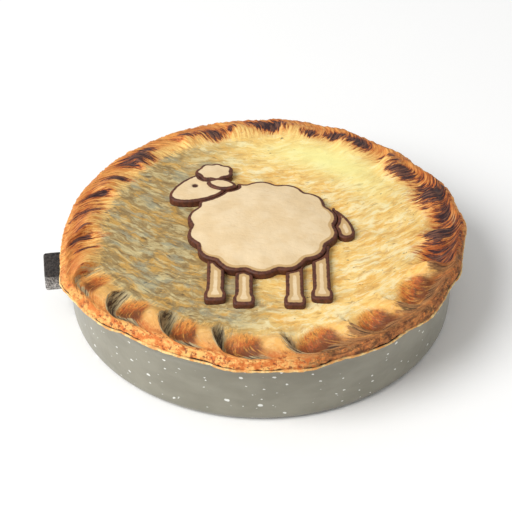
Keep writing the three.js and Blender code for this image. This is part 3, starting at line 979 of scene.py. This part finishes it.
def headOutline():
    angle = np.linspace(0, tau, 240, endpoint=False)
    across = sheep["headWidth"] / 2 * (1 + sheep["headTaper"] * np.cos(angle)) * np.sin(angle)
    return placed(sheep["headLength"] / 2 * np.cos(angle), across, sheep["headCentre"], sheep["headTilt"])


def leafOutline(root, length, width, tilt, shoulder):
    # a pointed or blunt leaf from its root: a curve out to the tip and its mirror image back
    t = np.linspace(0, 1, 80)
    near, far, tip = 3 * (1 - t) ** 2 * t, 3 * (1 - t) * t**2, t**3
    along = length * (0.2 * near + shoulder * far + tip)
    across = 0.75 * width * (near + far)
    out = placed(along, -across, root, tilt)
    back = placed(along, across, root, tilt)[-2:0:-1]
    return np.concatenate([out, back])


def legOutline(x, footY):
    top, foot, turn, footHeight, ankle = sheep["legWidth"] / 2, sheep["footWidth"] / 2, 2.5, 7, 9
    corners = [(top, sheep["legHipY"]), (-top, sheep["legHipY"])]
    corners += [(-top, footY + ankle), (-foot, footY + footHeight)]
    corners += arcPoints((turn - foot, footY + turn), turn, math.pi, 1.5 * math.pi, 8)
    corners += arcPoints((foot - turn, footY + turn), turn, 1.5 * math.pi, tau, 8)
    corners += [(foot, footY + footHeight), (top, footY + ankle)]
    return np.array(corners) + (x, 0)


def evenlySpaced(outline, spacing):
    closed = np.concatenate([outline, outline[:1]])
    lengths = np.hypot(*np.diff(closed, axis=0).T)
    along = np.concatenate([[0], np.cumsum(lengths)])
    places = np.linspace(0, along[-1], round(along[-1] / spacing), endpoint=False)
    return np.stack([np.interp(places, along, closed[:, axis]) for axis in (0, 1)], 1)


def grown(outline, distance):
    tangent = np.roll(outline, -1, 0) - np.roll(outline, 1, 0)
    outward = np.stack([tangent[:, 1], -tangent[:, 0]], 1) / np.hypot(*tangent.T)[:, None]
    return outline + outward * distance


def cross(first, second):
    return first[..., 0] * second[..., 1] - first[..., 1] * second[..., 0]


def trimmed(outline, centre, neighbours):
    # draws each point in towards the centre, to where its ray first meets a neighbour
    result = outline - centre
    for neighbour in neighbours:
        start = grown(evenlySpaced(neighbour, 0.5), sheep["gap"]) - centre
        side = np.roll(start, -1, 0) - start
        for i, ray in enumerate(result):
            turning = cross(ray, side)
            along = cross(start, side) / turning
            onSide = cross(start, ray) / turning
            hits = along[(onSide >= 0) & (onSide <= 1) & (along > 0) & (along < 1)]
            if len(hits):
                result[i] = ray * hits.min()
    return result + centre


def edgeDistance(points, outline):
    nearest = np.full(len(points), np.inf)
    for start, end in zip(outline, np.roll(outline, -1, 0)):
        side = end - start
        share = np.clip(((points - start) @ side) / (side @ side), 0, 1)
        nearest = np.minimum(nearest, np.hypot(*(points - start - share[:, None] * side).T))
    return nearest


def smoothed(outline, rounds):
    for _ in range(rounds):
        outline = (np.roll(outline, 1, 0) + 2 * outline + np.roll(outline, -1, 0)) / 4
    return outline


def flatCutOut(outline, thickness):
    # a flat slab of the outline, with narrow rings inside its edge, cut into small cells
    bm = bmesh.new()
    count = len(outline)
    bmesh.ops.create_circle(bm, cap_ends=True, radius=100, segments=count)
    bm.faces.ensure_lookup_table()
    disc = bm.faces[0]
    rings = [outline]
    for width in sheep["ringWidths"]:
        bmesh.ops.inset_region(bm, faces=[disc], thickness=1, use_even_offset=True, use_boundary=True)
        rings.append(grown(smoothed(rings[-1], 1), -width))
    for corner in bm.verts:  # the disc's rings go to the outline's
        place = round(math.atan2(-corner.co.x, corner.co.y) / tau * count) % count
        corner.co = (*rings[round(100 - corner.co.length)][place], 0)
    for axis in (0, 1):
        normal = Vector([axis == 0, axis == 1, 0])
        least, most = outline[:, axis].min(), outline[:, axis].max()
        for place in np.arange(least + sheep["cell"] / 2, most, sheep["cell"]):
            sliceAt(bm, normal * place, normal)
    top = bmesh.ops.extrude_face_region(bm, geom=bm.faces[:])["geom"]
    raised = [part for part in top if isinstance(part, bmesh.types.BMVert)]
    bmesh.ops.translate(bm, vec=(0, 0, thickness), verts=raised)
    for height in np.arange(0.8, thickness - 0.5, 0.8):
        sliceAt(bm, (0, 0, height), (0, 0, 1))
    return bm


def makeCutOut(name, outline, thickness, material, node, puff=0.0, dimples=()):
    outline = smoothed(evenlySpaced(outline, sheep["pointSpacing"]), 3)
    mesh = meshFrom(flatCutOut(outline, thickness), name)
    points = readVectors(mesh.vertices, "co")
    x, y, flatZ = points.T
    inward = edgeDistance(points[:, :2], outline)
    isTop = flatZ > thickness - 0.01
    bevel = sheep["bevel"]
    rounding = bevel - np.sqrt(np.maximum(bevel**2 - np.clip(bevel - inward, 0, None) ** 2, 0))
    z = np.where(isTop, thickness - rounding, flatZ * (thickness - bevel) / thickness)
    z += isTop * puff * (1 - np.exp(-((inward / 14) ** 2)))
    ripple = 0.22 * noiseAt(points, 10, 3, 9) + 0.05 * noiseAt(points, (5, 1.8, 3), 2, 10)
    z += isTop * smoothStep(inward, 0, 4) * ripple
    press = np.zeros(len(points))
    for dimpleX, dimpleY, size in dimples:
        press = np.maximum(press, bump(np.hypot(x - dimpleX, y - dimpleY), 0, size))
    z -= isTop * 1.3 * press
    sunk = (sheep["seat"] + sheep["sink"]) * (1 - smoothStep(flatZ, 0, 1.5))
    z += lidHeight(x, y) + sheep["seat"] - sunk
    shiftX, shiftY = (0.22 * noiseAt(points, (7, 7, 2.5), 2, seed) for seed in (11, 12))
    writePoints(mesh, np.stack([x + shiftX, y + shiftY, z], 1))
    storeMask(mesh, "inward", np.where(isTop, inward, 0))
    storeMask(mesh, "press", press * isTop)
    lowerSide = (x - sheep["fleeceCentre"][0]) * 0.6 - (y - sheep["fleeceCentre"][1])
    storeMask(mesh, "shadeSide", smoothStep(lowerSide / sheep["fleeceRadii"][0], -0.25, 0.45))
    finishPiece(name, mesh, material, node)


def paintPalePastry():
    paint = Paint("palePastry")
    place = paint.objectPlace()
    inward, press, shadeSide = (paint.attribute(name) for name in ("inward", "press", "shadeSide"))
    grain = paint.noise(paint.drifted(place, 20, (12, 12, 0)), (6.0, 2.0, 3.0), 4.0, 0.6)
    clouds = paint.noise(place, (14, 14, 14), 2.0)
    rag = paint.noise(place, (2.2, 2.2, 2.2), 3.0, 0.6)
    tone = paint.mix(paint.step(clouds, 0.35, 0.65), tint(230, 202, 157), tint(237, 212, 171))
    tone = paint.over(tone, tint(218, 180, 126), 0.3, grain, 0.45, 0.3)
    distance = inward + (rag - 0.5) * 0.9
    # a tan band inside the lower and right edges: painted shade, as if lit from the upper left
    shadedEdge = distance - shadeSide * 2.2
    tone = paint.over(tone, tint(200, 162, 106), 0.9, shadedEdge, 2.35, 1.65)
    border = sheep["borderWidth"]
    crustTone = paint.mix(paint.step(rag, 0.35, 0.65), tint(74, 36, 22), tint(104, 54, 30))
    tone = paint.mix(paint.step(distance, border + 0.3, border - 0.3), tone, crustTone)
    tone = paint.mix(paint.step(press, 0.2, 0.6), tone, tint(70, 34, 20))
    rough = 0.6 + (rag - 0.5) * 0.2
    normal = paint.relief(grain * 0.6 + rag * 0.4, 0.0005)
    return paint.finish(Base_Color=tone, Roughness=rough, Normal=normal)


def makeSheep(material):
    centre, lobeDepth = sheep["fleeceCentre"], sheep["lobeDepth"]
    fleece = cloudOutline(centre, sheep["fleeceRadii"], sheep["fleeceLobes"], lobeDepth)
    tuft = cloudOutline(sheep["tuftCentre"], sheep["tuftRadii"], sheep["tuftLobes"], lobeDepth / 2)
    head = headOutline()
    ear = leafOutline(sheep["earRoot"], sheep["earLength"], sheep["earWidth"], sheep["earTilt"], 0.75)
    tail = leafOutline(sheep["tailRoot"], sheep["tailLength"], sheep["tailWidth"], sheep["tailTilt"], 1.05)
    thick, thin = sheep["thickness"], sheep["limbThickness"]
    body = trimmed(evenlySpaced(fleece, 0.4), centre, [head, ear, tuft])
    makeCutOut("sheepFleece", body, thick, material, "sheep_fleece", sheep["fleecePuff"])
    eye = (sheep["headCentre"][0] - 2, sheep["headCentre"][1] + 3, 2.1)
    face = trimmed(evenlySpaced(head, 0.4), sheep["headCentre"], [tuft])
    makeCutOut("sheepHead", face, thick, material, "sheep_head", dimples=[eye])
    makeCutOut("sheepEar", ear, thick + sheep["earLift"], material, "sheep_head")
    makeCutOut("sheepTuft", tuft, thick, material, "sheep_tuft", 0.8)
    tailMiddle = placed(np.array([17.0]), np.array([2.0]), sheep["tailRoot"], sheep["tailTilt"])[0]
    tail = trimmed(evenlySpaced(tail, 0.4), tailMiddle, [fleece])
    makeCutOut("sheepTail", tail, thin, material, "sheep_tail")
    for number, (x, footY) in enumerate(zip(sheep["legX"], sheep["legFootY"]), 1):
        leg = trimmed(evenlySpaced(legOutline(x, footY), 0.4), np.array([x, footY + 8]), [fleece])
        makeCutOut(f"sheepLeg{number}", leg, thin, material, f"sheep_leg_{number}")


makeSheep(paintPalePastry())


# stage, lights and camera

studio = {
    "floorSize": 8.0,
    "keyPlace": (-2.0, -1.0, 2.2),
    "keySize": 2.2,
    "keyPower": 88.0,
    "fillPlace": (0.5, -1.4, 1.0),
    "fillSize": 1.6,
    "fillPower": 0.5,
    "skyLight": 0.5,
    "target": (0, 0, 0.025),
    "distance": 1.0,
    "elevation": math.radians(39),
    "focalLength": 111.0,
    "shift": (-0.00967, 0.00566),
}


def makeFloor():
    bm = bmesh.new()
    bmesh.ops.create_grid(bm, x_segments=1, y_segments=1, size=studio["floorSize"] / 2)
    mesh = meshFrom(bm, "floor")
    paint = Paint("paleFloor")
    cloud = paint.noise(paint.objectPlace(), (300, 300, 300), 2.0)
    tone = paint.mix(cloud, tint(253, 253, 252), tint(255, 255, 254))
    mesh.materials.append(paint.finish(Base_Color=tone, Roughness=0.9))
    floor = addToScene("floor", mesh)


def aim(thing, place, target):
    thing.location = place
    thing.rotation_euler = (Vector(target) - Vector(place)).to_track_quat("-Z", "Y").to_euler()


def makeLight(name, place, size, power):
    light = bpy.data.lights.new(name, "AREA")
    light.shape = "DISK"
    light.size = size
    light.energy = power
    holder = addToScene(name, light)
    aim(holder, place, studio["target"])


def makeCamera():
    camera = bpy.data.cameras.new("camera")
    camera.sensor_width = 36
    camera.lens = studio["focalLength"]
    camera.shift_x, camera.shift_y = studio["shift"]
    holder = addToScene("camera", camera)
    back = studio["distance"] * math.cos(studio["elevation"])
    up = studio["distance"] * math.sin(studio["elevation"])
    aim(holder, Vector(studio["target"]) + Vector((0, -back, up)), studio["target"])
    bpy.context.scene.camera = holder


def makeSky():
    world = bpy.data.worlds.new("paleRoom")
    world.use_nodes = True
    background = world.node_tree.nodes["Background"]
    background.inputs["Color"].default_value = (1, 1, 1, 1)
    background.inputs["Strength"].default_value = studio["skyLight"]
    bpy.context.scene.world = world


makeFloor()
makeLight("key", studio["keyPlace"], studio["keySize"], studio["keyPower"])
makeLight("fill", studio["fillPlace"], studio["fillSize"], studio["fillPower"])
makeSky()
makeCamera()
bpy.context.scene.view_settings.view_transform = "Standard"
print("stage, lights and camera are set")
